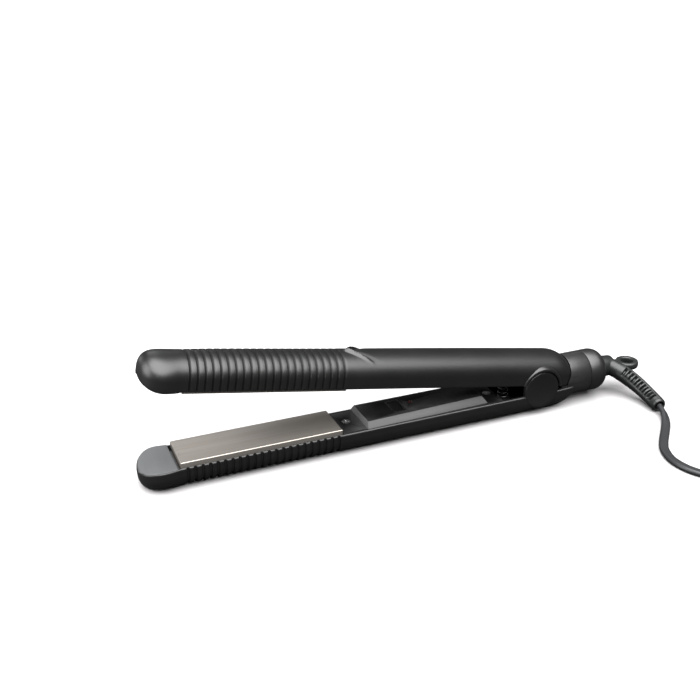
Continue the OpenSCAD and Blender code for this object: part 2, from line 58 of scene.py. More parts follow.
PLATE_LENGTH = 90.0
RIM_GAP = 5.0            # between the rims of the closed arms
OPEN_DEGREES = 10.15     # how far the upper arm stands open at rest
HINGE = Vector((216.0, 0.0, 2.5))
TAIL_AXIS = Vector((0.0, 0.0, 2.5))
LOWER = Matrix.Scale(0.001, 4) @ Matrix.Translation((-120.0, 0.0, 13.6))


def opened(degrees):
    """The upper arm's place when it stands open by an angle."""
    return (LOWER @ Matrix.Translation(HINGE) @ Matrix.Rotation(math.radians(degrees), 4, "Y")
            @ Matrix.Translation(-HINGE))


def turned_over(place):
    """Mirrors a shape drawn like the lower arm, so that its back faces up."""
    return place @ Matrix.Translation((0, 0, RIM_GAP)) @ Matrix.Scale(-1, 4, (0, 0, 1))


UPPER = opened(OPEN_DEGREES)
TURNED_OVER = turned_over(UPPER)


def row(x, y, z):
    """A point of the closed iron's frame, in millimetres, as a point of the row frame in metres."""
    return LOWER @ Vector((x, y, z))


# ---- camera ---------------------------------------------------------------------------------

def add_camera():
    """Looks down at the iron from its front left."""
    data = bpy.data.cameras.new("camera")
    data.lens, data.sensor_width = 49.82, 36.0
    camera = bpy.data.objects.new("camera", data)
    camera.location = row(-80.92, -444.51, 259.28)
    camera.rotation_euler = [math.radians(a) for a in (65.797, 0.502, -22.344)]
    bpy.context.scene.collection.objects.link(camera)
    bpy.context.scene.camera = camera


add_camera()


# ---- node groups ----------------------------------------------------------------------------

def new_group(name, inputs, outputs):
    """A shader node group with named sockets; returns the group, its input and its output node."""
    group = bpy.data.node_groups.new(name, "ShaderNodeTree")
    for label, kind, value in inputs:
        socket = group.interface.new_socket(label, in_out="INPUT", socket_type="NodeSocket" + kind)
        if value is not None:
            socket.default_value = value
    for label, kind in outputs:
        group.interface.new_socket(label, in_out="OUTPUT", socket_type="NodeSocket" + kind)
    return group, group.nodes.new("NodeGroupInput"), group.nodes.new("NodeGroupOutput")


def add(tree, kind, **settings):
    """A node with its settings; a setting whose name is a socket's goes to that socket."""
    node = tree.nodes.new("ShaderNode" + kind)
    for key, value in settings.items():
        if hasattr(node, key):
            setattr(node, key, value)
        else:
            node.inputs[key.replace("_", " ")].default_value = value
    return node


def feed(tree, sockets, values):
    """Links each socket to a node's output, or sets it to a plain value."""
    for socket, value in zip(sockets, values):
        if isinstance(value, bpy.types.NodeSocket):
            tree.links.new(value, socket)
        else:
            socket.default_value = value


def math_node(tree, operation, a, b, clamp=False):
    """Result of a sum of two values or sockets."""
    node = add(tree, "Math", operation=operation, use_clamp=clamp)
    feed(tree, node.inputs, (a, b))
    return node.outputs[0]


def ramp_node(tree, source, low, high):
    """Maps a value from low..high to 0..1 with soft ends."""
    node = add(tree, "MapRange", interpolation_type="SMOOTHSTEP")
    tree.links.new(source, node.inputs["Value"])
    node.inputs["From Min"].default_value, node.inputs["From Max"].default_value = low, high
    return node.outputs["Result"]


def mix_colour(tree, factor, a, b):
    """Result of mixing two colours."""
    node = add(tree, "Mix", data_type="RGBA")
    feed(tree, (node.inputs[0], node.inputs[6], node.inputs[7]), (factor, a, b))
    return node.outputs[2]


def make_moulded_skin():
    """Fine grain of a moulded or coated surface, with faint mottling and dust."""
    group, start, end = new_group(
        "moulded_skin",
        [("Place", "Vector", None), ("Grain size", "Float", 0.0004), ("Grain depth", "Float", 0.3),
         ("Colour", "Color", (0.05, 0.05, 0.05, 1)), ("Light colour", "Color", (0.1, 0.1, 0.1, 1)),
         ("Roughness", "Float", 0.45), ("Roughness change", "Float", 0.1), ("Dust", "Float", 0.2)],
        [("Colour", "Color"), ("Roughness", "Float"), ("Normal", "Vector")])
    link = group.links.new
    scale = math_node(group, "DIVIDE", 1.0, start.outputs["Grain size"])
    grain = add(group, "TexNoise", Detail=3.0, Roughness=0.6)
    link(start.outputs["Place"], grain.inputs["Vector"])
    link(scale, grain.inputs["Scale"])
    cells = add(group, "TexVoronoi", feature="SMOOTH_F1")
    link(start.outputs["Place"], cells.inputs["Vector"])
    link(scale, cells.inputs["Scale"])
    mottle = add(group, "TexNoise", Scale=38.0, Detail=4.0, Roughness=0.65)
    link(start.outputs["Place"], mottle.inputs["Vector"])
    dust = add(group, "TexNoise", Scale=2600.0, Detail=1.0)
    link(start.outputs["Place"], dust.inputs["Vector"])
    specks = ramp_node(group, dust.outputs["Fac"], 0.66, 0.74)
    cloud = ramp_node(group, mottle.outputs["Fac"], 0.35, 0.75)
    height = math_node(group, "ADD", grain.outputs["Fac"], cells.outputs["Distance"])
    bump = add(group, "Bump", Distance=0.00006)
    link(start.outputs["Grain depth"], bump.inputs["Strength"])
    link(height, bump.inputs["Height"])
    amount = math_node(group, "MULTIPLY", math_node(group, "MULTIPLY", specks, cloud),
                       start.outputs["Dust"])
    shade = math_node(group, "ADD", math_node(group, "MULTIPLY", cloud, 0.35), amount, clamp=True)
    link(mix_colour(group, shade, start.outputs["Colour"], start.outputs["Light colour"]),
         end.inputs["Colour"])
    change = math_node(group, "MULTIPLY", math_node(group, "SUBTRACT", mottle.outputs["Fac"], 0.5),
                       start.outputs["Roughness change"])
    rough = math_node(group, "ADD", math_node(group, "ADD", start.outputs["Roughness"], change),
                      math_node(group, "MULTIPLY", amount, 0.3), clamp=True)
    link(rough, end.inputs["Roughness"])
    link(bump.outputs["Normal"], end.inputs["Normal"])
    return group


def make_worn_edges():
    """Paler, smoother corners where hands and tables rub."""
    group, start, end = new_group(
        "worn_edges",
        [("Place", "Vector", None), ("Colour", "Color", None),
         ("Worn colour", "Color", (0.2, 0.2, 0.2, 1)), ("Amount", "Float", 0.5),
         ("Roughness", "Float", 0.5)],
        [("Colour", "Color"), ("Roughness", "Float")])
    link = group.links.new
    edge = add(group, "NewGeometry")
    patchy = add(group, "TexNoise", Scale=220.0, Detail=5.0)
    link(start.outputs["Place"], patchy.inputs["Vector"])
    sharp = ramp_node(group, edge.outputs["Pointiness"], 0.52, 0.62)
    mask = math_node(group, "MULTIPLY", math_node(group, "MULTIPLY", sharp, patchy.outputs["Fac"]),
                     start.outputs["Amount"], clamp=True)
    link(mix_colour(group, mask, start.outputs["Colour"], start.outputs["Worn colour"]),
         end.inputs["Colour"])
    link(math_node(group, "SUBTRACT", start.outputs["Roughness"],
                   math_node(group, "MULTIPLY", mask, 0.12)), end.inputs["Roughness"])
    return group


def make_brushing():
    """Fine lines along X with broad soft bands, as on a coated or ground metal."""
    group, start, end = new_group(
        "brushing",
        [("Place", "Vector", None), ("Colour", "Color", (0.4, 0.36, 0.32, 1)),
         ("Band colour", "Color", (0.5, 0.46, 0.42, 1)), ("Roughness", "Float", 0.35),
         ("Depth", "Float", 0.15)],
        [("Colour", "Color"), ("Roughness", "Float"), ("Normal", "Vector")])
    link = group.links.new
    stretch = add(group, "Mapping", Scale=(14.0, 1500.0, 400.0))
    link(start.outputs["Place"], stretch.inputs["Vector"])
    lines = add(group, "TexNoise", Scale=1.0, Detail=3.0)
    link(stretch.outputs["Vector"], lines.inputs["Vector"])
    wide = add(group, "Mapping", Scale=(9.0, 150.0, 60.0))
    link(start.outputs["Place"], wide.inputs["Vector"])
    bands = add(group, "TexNoise", Scale=1.0, Detail=2.0)
    link(wide.outputs["Vector"], bands.inputs["Vector"])
    scuffs = add(group, "TexNoise", Scale=900.0, Detail=2.0)
    link(start.outputs["Place"], scuffs.inputs["Vector"])
    both = math_node(group, "ADD", math_node(group, "MULTIPLY", lines.outputs["Fac"], 0.4),
                     math_node(group, "MULTIPLY", bands.outputs["Fac"], 0.6))
    mask = ramp_node(group, both, 0.35, 0.65)
    link(mix_colour(group, mask, start.outputs["Colour"], start.outputs["Band colour"]),
         end.inputs["Colour"])
    change = math_node(group, "MULTIPLY",
                       math_node(group, "SUBTRACT", scuffs.outputs["Fac"], 0.5), 0.12)
    link(math_node(group, "ADD", start.outputs["Roughness"], change, clamp=True),
         end.inputs["Roughness"])
    bump = add(group, "Bump", Distance=0.00002)
    link(start.outputs["Depth"], bump.inputs["Strength"])
    link(lines.outputs["Fac"], bump.inputs["Height"])
    link(bump.outputs["Normal"], end.inputs["Normal"])
    return group


MOULDED_SKIN = make_moulded_skin()
WORN_EDGES = make_worn_edges()
BRUSHING = make_brushing()


# ---- materials ------------------------------------------------------------------------------

def new_material(name):
    """A material with its node tree, its shader and its place on the piece."""
    material = bpy.data.materials.new(name)
    material.use_nodes = True
    tree = material.node_tree
    shader = tree.nodes["Principled BSDF"]
    return material, tree, shader, tree.nodes.new("ShaderNodeTexCoord").outputs["Object"]


def grey(value, tint=(1.0, 1.0, 1.0)):
    """A grey, with a tint if one is given."""
    return (value * tint[0], value * tint[1], value * tint[2], 1.0)


def moulded(name, colour, light, roughness, grain=0.0004, depth=0.3, dust=0.2, change=0.1,
            worn=None, wear=0.0, specular=0.5, coat=0.0, sheen=0.0):
    """Moulded plastic or rubber, plain or with a soft coat."""
    material, tree, shader, place = new_material(name)
    skin = add(tree, "Group", node_tree=MOULDED_SKIN)
    for label, value in (("Grain size", grain), ("Grain depth", depth), ("Colour", colour),
                         ("Light colour", light), ("Roughness", roughness),
                         ("Roughness change", change), ("Dust", dust)):
        skin.inputs[label].default_value = value
    tree.links.new(place, skin.inputs["Place"])
    last_colour, last_rough = skin.outputs["Colour"], skin.outputs["Roughness"]
    if worn:
        edges = add(tree, "Group", node_tree=WORN_EDGES)
        edges.inputs["Worn colour"].default_value = worn
        edges.inputs["Amount"].default_value = wear
        tree.links.new(place, edges.inputs["Place"])
        tree.links.new(last_colour, edges.inputs["Colour"])
        tree.links.new(last_rough, edges.inputs["Roughness"])
        last_colour, last_rough = edges.outputs["Colour"], edges.outputs["Roughness"]
    tree.links.new(last_colour, shader.inputs["Base Color"])
    tree.links.new(last_rough, shader.inputs["Roughness"])
    tree.links.new(skin.outputs["Normal"], shader.inputs["Normal"])
    shader.inputs["Specular IOR Level"].default_value = specular
    shader.inputs["Coat Weight"].default_value = coat
    shader.inputs["Coat Roughness"].default_value = 0.25
    shader.inputs["Sheen Weight"].default_value = sheen
    return material


def metal(name, colour, band, roughness, depth=0.15, metallic=1.0, anisotropic=0.0):
    """Ground or coated metal."""
    material, tree, shader, place = new_material(name)
    finish = add(tree, "Group", node_tree=BRUSHING)
    for label, value in (("Colour", colour), ("Band colour", band), ("Roughness", roughness),
                         ("Depth", depth)):
        finish.inputs[label].default_value = value
    tree.links.new(place, finish.inputs["Place"])
    tree.links.new(finish.outputs["Colour"], shader.inputs["Base Color"])
    tree.links.new(finish.outputs["Roughness"], shader.inputs["Roughness"])
    tree.links.new(finish.outputs["Normal"], shader.inputs["Normal"])
    shader.inputs["Metallic"].default_value = metallic
    shader.inputs["Anisotropic"].default_value = anisotropic
    return material


soft_touch_black = moulded("soft_touch_black", grey(0.005), grey(0.010), 0.37, grain=0.00035,
                           depth=0.22, dust=0.25, worn=grey(0.05), wear=0.5, specular=0.62)
tail_black = moulded("tail_black", grey(0.007), grey(0.013), 0.42, grain=0.0004, depth=0.25,
                     worn=grey(0.05), wear=0.5, specular=0.7)
tip_face_grey = moulded("tip_face_grey", grey(0.075, (0.96, 1, 1.02)),
                        grey(0.10, (0.97, 1, 1.02)), 0.5,
                        grain=0.0003, depth=0.3, dust=0.4)
cover_black = moulded("cover_black", grey(0.004), grey(0.007), 0.42, grain=0.0005, depth=0.35,
                      dust=0.12, worn=grey(0.08), wear=0.8, specular=0.22)
# lighter grey for the sloping sides of the lower inner cover: painted light, not the moulding's own
# colour
platform_slope_painted_light = moulded("platform_slope_painted_light", grey(0.10), grey(0.13), 0.55, grain=0.0005, depth=0.3,
                        specular=0.15)
switch_black = moulded("switch_black", grey(0.006), grey(0.01), 0.28, grain=0.0006, depth=0.1,
                       dust=0.3)
plate_bronze = metal("plate_bronze", grey(0.27, (1.07, 0.98, 0.88)), grey(0.32, (1.06, 0.98, 0.9)),
                     0.36, depth=0.12, metallic=0.75)
screw_steel = metal("screw_steel", grey(0.62), grey(0.72), 0.25, depth=0.2)
spring_steel = metal("spring_steel", grey(0.13), grey(0.17), 0.35, depth=0.1)
contact_brass = metal("contact_brass", (0.62, 0.46, 0.20, 1), (0.72, 0.56, 0.28, 1), 0.3, depth=0.1)
boot_rubber = moulded("boot_rubber", grey(0.013, (0.93, 1.04, 0.98)),
                      grey(0.021, (0.93, 1.04, 0.98)), 0.38,
                      grain=0.0006, depth=0.3, dust=0.35, worn=grey(0.08), wear=0.5)
cord_jacket = moulded("cord_jacket", grey(0.022, (0.95, 1, 1.05)),
                      grey(0.032, (0.95, 1, 1.05)), 0.38,
                      grain=0.0008, depth=0.15, dust=0.2)
tie_black = moulded("tie_black", grey(0.012), grey(0.02), 0.6, grain=0.0006, depth=0.6, dust=0.3)
plug_black = moulded("plug_black", grey(0.014), grey(0.02), 0.48, grain=0.0006, depth=0.5, dust=0.3,
                     worn=grey(0.06), wear=0.5)
heat_resin = moulded("heat_resin", (0.09, 0.065, 0.045, 1), (0.13, 0.10, 0.07, 1), 0.6, depth=0.5)
ceramic_white = moulded("ceramic_white", (0.62, 0.58, 0.50, 1), (0.7, 0.66, 0.58, 1), 0.6,
                        depth=0.4)
cushion_red = moulded("cushion_red", (0.30, 0.06, 0.035, 1), (0.36, 0.09, 0.05, 1), 0.6, depth=0.3)
wire_jacket = moulded("wire_jacket", (0.45, 0.42, 0.36, 1), (0.52, 0.5, 0.44, 1), 0.5, depth=0.2)
board_green = moulded("board_green", (0.01, 0.07, 0.025, 1), (0.02, 0.11, 0.04, 1), 0.3, depth=0.2)
lens_red = moulded("lens_red", (0.07, 0.006, 0.005, 1), (0.10, 0.01, 0.008, 1), 0.15, depth=0.05,
                   coat=0.5)


# ---- building -------------------------------------------------------------------------------

def ring_edges(bm, ring):
    """Edges that join the vertices of a closed ring."""
    return [bm.edges.get(pair) for pair in zip(ring, ring[1:] + ring[:1])]


def grow(bm, rim, places):
    """Extrudes a ring of vertices and lays the new ring on the given places."""
    made = bmesh.ops.extrude_edge_only(bm, edges=ring_edges(bm, rim))["geom"]
    fresh = {v for v in made if isinstance(v, bmesh.types.BMVert)}
    after = [next(e.other_vert(v) for e in v.link_edges if e.other_vert(v) in fresh) for v in rim]
    for v, place in zip(after, places):
        v.co = place
    return after


def skin(bm, rings, closed=True):
    """Extrudes the first ring through all the others; closed fills both ends."""
    first = [bm.verts.new(p) for p in rings[0]]
    for pair in zip(first, first[1:] + first[:1]):
        bm.edges.new(pair)
    rim = first
    for places in rings[1:]:
        rim = grow(bm, rim, places)
    if closed:
        for ring in (first, rim):
            bmesh.ops.contextual_create(bm, geom=ring_edges(bm, ring))
    return first, rim


def piece(bm, name, material, body, place=LOWER, nodes=(), sharp=35.0, tidy=True):
    """Turns a drawn shape into an object that rides on a body and stands for CAD nodes."""
    if tidy:
        bmesh.ops.remove_doubles(bm, verts=bm.verts, dist=1e-4)
    bmesh.ops.transform(bm, matrix=place, verts=bm.verts)
    bmesh.ops.recalc_face_normals(bm, faces=bm.faces)
    mesh = bpy.data.meshes.new(name)
    bm.to_mesh(mesh)
    bm.free()
    mesh.shade_smooth()
    mesh.set_sharp_from_angle(angle=math.radians(sharp))
    mesh.materials.append(material)
    obj = bpy.data.objects.new(name, mesh)
    bpy.context.scene.collection.objects.link(obj)
    if body:
        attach(obj, body)
    if nodes:
        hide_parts(*nodes)
    return obj


def sharp_edges(bm, angle=30.0):
    """Edges whose faces turn by more than an angle."""
    return [e for e in bm.edges if e.is_manifold and e.calc_face_angle() > math.radians(angle)]


def bevel(bm, edges, width, segments, clamp=False):
    """Rounds the given edges."""
    bmesh.ops.bevel(bm, geom=edges, offset=width, offset_type="OFFSET", affect="EDGES",
                    segments=segments, profile=0.5, material=-1, clamp_overlap=clamp)


def round_edges(bm, width, segments=2, angle=30.0):
    """Rounds every sharp edge as far as there is room."""
    bevel(bm, sharp_edges(bm, angle), width, segments, clamp=True)


def softened(node, name, width, material, body, segments=2, angle=30.0):
    """A copy of a CAD piece with its edges rounded as a mould or a file leaves them."""
    bm = bmesh.new()
    bm.from_mesh(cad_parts[node].data)
    bm.transform(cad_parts[node].matrix_world)
    bmesh.ops.remove_doubles(bm, verts=bm.verts, dist=2e-6)
    bmesh.ops.dissolve_limit(bm, angle_limit=math.radians(0.5), verts=bm.verts, edges=bm.edges)
    round_edges(bm, width * 0.001, segments, angle)
    return piece(bm, name, material, body, Matrix.Identity(4), (node,), tidy=False)


def block(bm, low, high):
    """A box between two corners; returns its vertices."""
    low, high = Vector(low), Vector(high)
    size = high - low
    place = Matrix.Translation((low + high) / 2) @ Matrix.Diagonal((size.x, size.y, size.z, 1.0))
    return bmesh.ops.create_cube(bm, size=1.0, matrix=place)["verts"]


def turned(bm, profile, axis, centre, segments=96):
    """Spins a profile once round an axis."""
    verts = [bm.verts.new(p) for p in profile]
    edges = [bm.edges.new(pair) for pair in zip(verts, verts[1:])]
    bmesh.ops.spin(bm, geom=verts + edges, cent=centre, axis=axis, angle=2 * math.pi,
                   steps=segments, use_merge=True)


def about_tail(bm, profile, segments=96):
    """Spins a profile of radius and X about the tail axis."""
    turned(bm, [(x, 0.0, TAIL_AXIS.z + r) for r, x in profile], (1, 0, 0), TAIL_AXIS, segments)


def carve(obj, cutter_bm, place):
    """Takes a drawn shape away from a piece."""
    bmesh.ops.transform(cutter_bm, matrix=place, verts=cutter_bm.verts)
    bmesh.ops.recalc_face_normals(cutter_bm, faces=cutter_bm.faces)
    mesh = bpy.data.meshes.new("cutter")
    cutter_bm.to_mesh(mesh)
    cutter_bm.free()
    cutter = bpy.data.objects.new("cutter", mesh)
    bpy.context.scene.collection.objects.link(cutter)
    modifier = obj.modifiers.new("carve", "BOOLEAN")
    modifier.operation, modifier.solver, modifier.object = "DIFFERENCE", "EXACT", cutter
    bpy.context.view_layer.update()
    finished = obj.evaluated_get(bpy.context.evaluated_depsgraph_get())
    result = bpy.data.meshes.new_from_object(finished)
    obj.modifiers.remove(modifier)
    old, obj.data = obj.data, result
    bpy.data.meshes.remove(old)
    bpy.data.objects.remove(cutter)
    bpy.data.meshes.remove(mesh)
    obj.data.name = obj.name
    obj.data.shade_smooth()
    obj.data.set_sharp_from_angle(angle=math.radians(35))


def smooth_path(points, steps):
    """Points of a smooth curve through the given ones."""
    points = [Vector(p) for p in points]
    found = []
    for i in range(len(points) - 1):
        a, b, c = points[max(i - 1, 0)], points[i], points[i + 1]
        d = points[min(i + 2, len(points) - 1)]
        for k in range(steps):
            t = k / steps
            found.append(0.5 * (2 * b + (c - a) * t + (2 * a - 5 * b + 4 * c - d) * t * t
                                + (3 * b - a - 3 * c + d) * t * t * t))
    return found + [points[-1]]


def path_frames(points):
    """Point, direction, side and up for each point of a path."""
    for i, p in enumerate(points):
        along = (points[min(i + 1, len(points) - 1)] - points[max(i - 1, 0)]).normalized()
        side = along.cross(Vector((0, 0, 1))).normalized()
        yield p, along, side, side.cross(along)


# ---- cord -----------------------------------------------------------------------------------

COIL_AT = Vector((280.0, -154.4, -13.6))    # centre of the coil, on the table
LEAD = [(282, -40.3, -9.45), (280, -47, -10.6), (275.3, -54.5, -11.7), (268.3, -62.5, -12),
        (261, -70.5, -12), (254.8, -79, -12), (251.5, -90, -12), (253.5, -101.5, -12),
        (259.8, -110.6, -12), (269, -116.8, -11.8), (280, -119, -11.4)]
TAIL = [(-24.8, 0, 12.1), (-24.8, 7, 12.1), (-24.8, 14, 12.1), (-21.5, 26.4, 12.1),
        (-12.4, 35.5, 12.2), (0, 38.8, 12.6), (12.4, 35.5, 14), (21.5, 26.4, 16), (24.8, 14, 17.4)]
LANES = (35.4, 30.1, 24.8, 24.8, 30.1, 35.4, 35.4, 30.1, 24.8)    # radius of each turn
TURNS = 8.75
LAYER = 3.25             # from one layer of turns to the next
LEAD_ROLL = 62           # degrees that the flat cord is rolled where it leaves the boot


def ease(t):
    """Rises from 0 to 1 with soft ends."""
    t = min(max(t, 0.0), 1.0)
    return t * t * (3 - 2 * t)


def coil_points(steps=60):
    """Centre line of the turns: it changes lane or layer in the last part of each turn."""
    found = []
    for k in range(1, int(TURNS * steps)):
        t = k / steps
        lane = int(t)
        shift = ease((t - lane - 0.72) / 0.28)
        radius = LANES[lane] + (LANES[min(lane + 1, 8)] - LANES[lane]) * shift
        layer = lane // 3 + (shift if lane % 3 == 2 and lane < 8 else 0)
        climb = 3.4 * ease((t - 8.45) / 0.3)
        angle = math.radians(90 - 360 * t)
        found.append(COIL_AT + Vector((radius * math.cos(angle), radius * math.sin(angle),
                                       2.2 + LAYER * layer + climb)))
    return found


def cord_outline(points=9):
    """Section of a flat twin cord: two round cores under one jacket."""
    half = [(1.0 + 1.6 * math.cos(a), 1.6 * math.sin(a))
            for a in (math.radians(-118 + 236 * k / (points - 1)) for k in range(points))]
    return half + [(-x, -y) for x, y in half]


def make_cord():
    """One swept cord from the boot to the plug; returns it with its path and its length."""
    path = (smooth_path(LEAD, 5) + coil_points()
            + smooth_path([COIL_AT + Vector(p) for p in TAIL], 5)[1:])
    travelled, rings = 0.0, []
    last = path[0]
    for p, along, side, up in path_frames(path):
        travelled += (p - last).length
        last = p
        roll = math.radians(LEAD_ROLL) * (1 - ease(travelled / 24.0))
        flat = side * math.cos(roll) + up * math.sin(roll)
        rise = up * math.cos(roll) - side * math.sin(roll)
        rings.append([p + flat * x + rise * y for x, y in cord_outline()])
    bm = bmesh.new()
    skin(bm, rings)
    cord = piece(bm, "cord", cord_jacket, None, LOWER,
                 ("cord_lead", "cord_coil", "cord_tail"), sharp=70, tidy=False)
    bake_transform(cord)
    return cord, [LOWER @ p for p in path], travelled / 1000


cord, cord_path, cord_length = make_cord()


# ---- arms -----------------------------------------------------------------------------------

NOSE_RUN = 12.5          # from the widest place of the nose to its tip
NOSE_POWER = 2.2         # how square the nose is, seen from above
TIP_DROP = 5             # how far the rim falls away at the tip
WIDEST = -8.0            # where the nose is widest
ARM_HALF = 14.0
NOSE_HALF = 15.2
WALL = 1.8
DOME = 10.6              # height of the domed part of a section, against its upright side
LOWER_DEPTH, LOWER_SIDE, LOWER_FLAT = 14.6, 4.0, 13.6
UPPER_DEPTH, UPPER_SIDE, NO_FLAT = 16.6, 6.0, 99
LOWER_END, UPPER_END = 239.0, 237.3
DISC_RADIUS, ARCH_RADIUS = 11.3, 11.85
SPRING_X = 198           # where the opening spring stands
ARCH_START = -4          # degrees below the tail side at which the lip round the disc starts
FIRST_GROOVE, GROOVE_PITCH, GROOVES = 3.5, 4.0, 22
GROOVE_DEPTH = 0.85


def rounded(t, power):
    """Falls from 1 to 0 along a superellipse."""
    return max(1 - min(max(t, 0.0), 1.0) ** power, 0.0) ** (1 / power)


def groove_depth(x, flat):
    """How far the ribbed surface lies below the smooth one; flat is half a groove's flat bottom."""
    k = round((x - FIRST_GROOVE) / GROOVE_PITCH)
    if not 0 <= k < GROOVES:
        return 0.0
    u = max(abs(x - FIRST_GROOVE - k * GROOVE_PITCH) - flat, 0.0)
    edge = 0.8 - 0.6 * flat
    return GROOVE_DEPTH * max(0.0, 1 - u / edge) ** 1.15 + 0.06 * (1 - ease((u - 0.6) / 1.2))


def thumb_stop(x, y):
    """Height of the swept-back thumb stop above the dome; negative in its scoop."""
    stop_height, ramp_length, cliff, scoop_depth = 1.75, 3.1, 0.9, 0.85
    side = abs(y)
    if side > 12.5 or not 88 < x < 116:
        return 0.0
    crest = 91.9 + 1.3 * math.sqrt(side * side + 0.6)
    fade = 1 - ease((side - 1.0) / 10.5)
    u = x - crest
    height = stop_height * fade
    if u <= 0:
        groove = 0.30 * fade * ease((side - 2.0) / 3.0) * max(0.0, 1 - abs(u + 1.9) / 0.5)
        return height * ease(1 + u / ramp_length) - groove
    fall = ease(u / cliff)
    back = ease((u - cliff) / (7.0 - 0.22 * side))
    return height * (1 - fall) - scoop_depth * fade * fall * (1 - back)


def arm_half(x):
    """Half the width of an arm's rim behind the widest place of its nose."""
    bulge = 0.5 + 0.5 * math.cos(math.pi * min(max((x - WIDEST) / 10, 0.0), 1.0))
    return ARM_HALF + (NOSE_HALF - ARM_HALF) * bulge


def arm_ring(x, upright, depth, flat, tail, feature, groove_flat, fillet):
    """Closed section of a shell at x: rim, side, dome, and the inside of its wall."""
    t = min(max((WIDEST - x) / NOSE_RUN, 0.0), 1.0)
    nose = rounded(t, NOSE_POWER)
    rim = TIP_DROP * (1 - nose)
    if x < WIDEST:
        half = NOSE_HALF * nose
        inner_half, inner_x = (NOSE_HALF - WALL) * nose, WIDEST - (NOSE_RUN - WALL) * t
        deep = TIP_DROP + (depth - TIP_DROP) * rounded(t, 3)
        inner_deep = TIP_DROP + (min(depth, flat) - WALL - TIP_DROP) * rounded(t, 3)
    else:
        drop, narrowing = tail(x)
        half = arm_half(x) - narrowing
        inner_half, inner_x = half - WALL, x
        deep = depth - drop
        inner_deep = min(deep, flat) - WALL
    side_end = rim + (deep - rim) * upright / (upright + DOME)
    corner = min(fillet, 0.3 * half)
    inset = groove_depth(x, groove_flat)
    outer = [(half - min(WALL, 0.5 * half), rim, 0, 0), (half - corner, rim, 0, 0)]
    outer += [(half - corner + corner * math.sin(a), rim + corner - corner * math.cos(a),
               math.sin(a), 0) for a in (math.radians(22.5 * k) for k in range(1, 5))]
    first = min(rim + corner, side_end - 0.01)
    outer += [(half, first + (side_end - first) * k / 4, 1, 0) for k in range(1, 4)]
    outer += [(half * math.cos(a), side_end + (deep - side_end) * math.sin(a),
               math.cos(a), math.sin(a)) for a in (math.radians(90 * k / 26) for k in range(27))]
    left = []
    for y, z, y_share, z_share in outer:
        proud = feature(x, y) * z_share if feature and z_share else 0.0
        left.append((max(y - inset * y_share + proud * y_share * 0.4, 0.0),
                     min(z - inset * z_share + proud, flat)))
    inner = [(inner_half, rim + 1.2),
             (inner_half, rim + (inner_deep - rim) * upright / (upright + DOME))]
    inner += [(inner_half * math.cos(a), inner[1][1] + (inner_deep - inner[1][1]) * math.sin(a))
              for a in (math.radians(90 * k / 8) for k in range(1, 9))]
    ring = [Vector((x, -y, -z)) for y, z in left]
    ring += [Vector((x, y, -z)) for y, z in reversed(left[:-1])]
    ring += [Vector((inner_x, y, -z)) for y, z in inner]
    ring += [Vector((inner_x, -y, -z)) for y, z in reversed(inner[:-1])]
    return ring


def arm_stations(end, dense=()):
    """Places along an arm where its section is drawn: close together where the shape changes."""
    found = [WIDEST - NOSE_RUN * math.sin(math.radians(90 - 90 * k / 16)) for k in range(17)]
    found += [-6, -4, -2, 0, 2]
    for k in range(GROOVES):
        centre = FIRST_GROOVE + GROOVE_PITCH * k
        found += [centre + side * u for u in (0.0, 0.25, 0.42, 0.6, 0.8, 0.98, 1.2, 1.5)
                  for side in (-1, 1)]
    found += dense
    found += range(112, 222, 10)
    found += [222 + (end - 222) * math.sin(math.radians(90 * k / 12)) for k in range(13)]
    return sorted(set(round(x, 3) for x in found))


def lower_tail(x):
    """Drop and narrowing of the lower shell at its tail end."""
    drop = 1 - rounded((x - 224) / 15.2, 2)
    return 8.0 * drop, 1.2 * drop


def upper_tail(x):
    """Drop and narrowing of the upper shell; it fills out a little behind the nose."""
    drop = 6.8 * (1 - rounded((x - 224.5) / 12.9, 1.7))
    fill = 0.45 * ease((x + 8) / 30) + 0.5 * ease((x - 60) / 120)
    return drop - fill, 5.0 * (1 - rounded((x - 227) / 10.4, 2))


def hinge_disc(bm, radius, y0, y1, corner):
    """A disc on the hinge axis with a rounded outer edge."""
    sign = 1 if y1 > y0 else -1
    outline = [(0, y0), (radius, y0), (radius, y1 - sign * corner)]
    outline += [(radius - corner + corner * math.cos(a),
                 y1 - sign * corner + sign * corner * math.sin(a))
                for a in (math.radians(22.5 * k) for k in range(1, 5))]
    outline += [(radius - 2.2, y1), (radius - 2.5, y1 - sign * 0.12), (0, y1 - sign * 0.12)]
    turned(bm, [(HINGE.x, y, HINGE.z + r) for r, y in outline], (0, 1, 0), HINGE, 96)


def make_lower_shell():
    """Lower arm with its hinge discs and the seat of the opening spring."""
    bm = bmesh.new()
    skin(bm, [arm_ring(x, LOWER_SIDE, LOWER_DEPTH, LOWER_FLAT, lower_tail, None, 0.42, 1.0)
              for x in arm_stations(LOWER_END, (90.5, 92, 100))])
    for sign in (-1, 1):
        hinge_disc(bm, DISC_RADIUS, sign * 11.6, sign * 14.2, 0.45)
    bmesh.ops.create_cone(bm, cap_ends=True, segments=48, radius1=4.2, radius2=4.2, depth=7.4,
                          matrix=Matrix.Translation((SPRING_X, 0, -8.7)))
    piece(bm, "lower_arm_shell", soft_touch_black, "lower_arm", LOWER, ("lower_shell",), sharp=40)


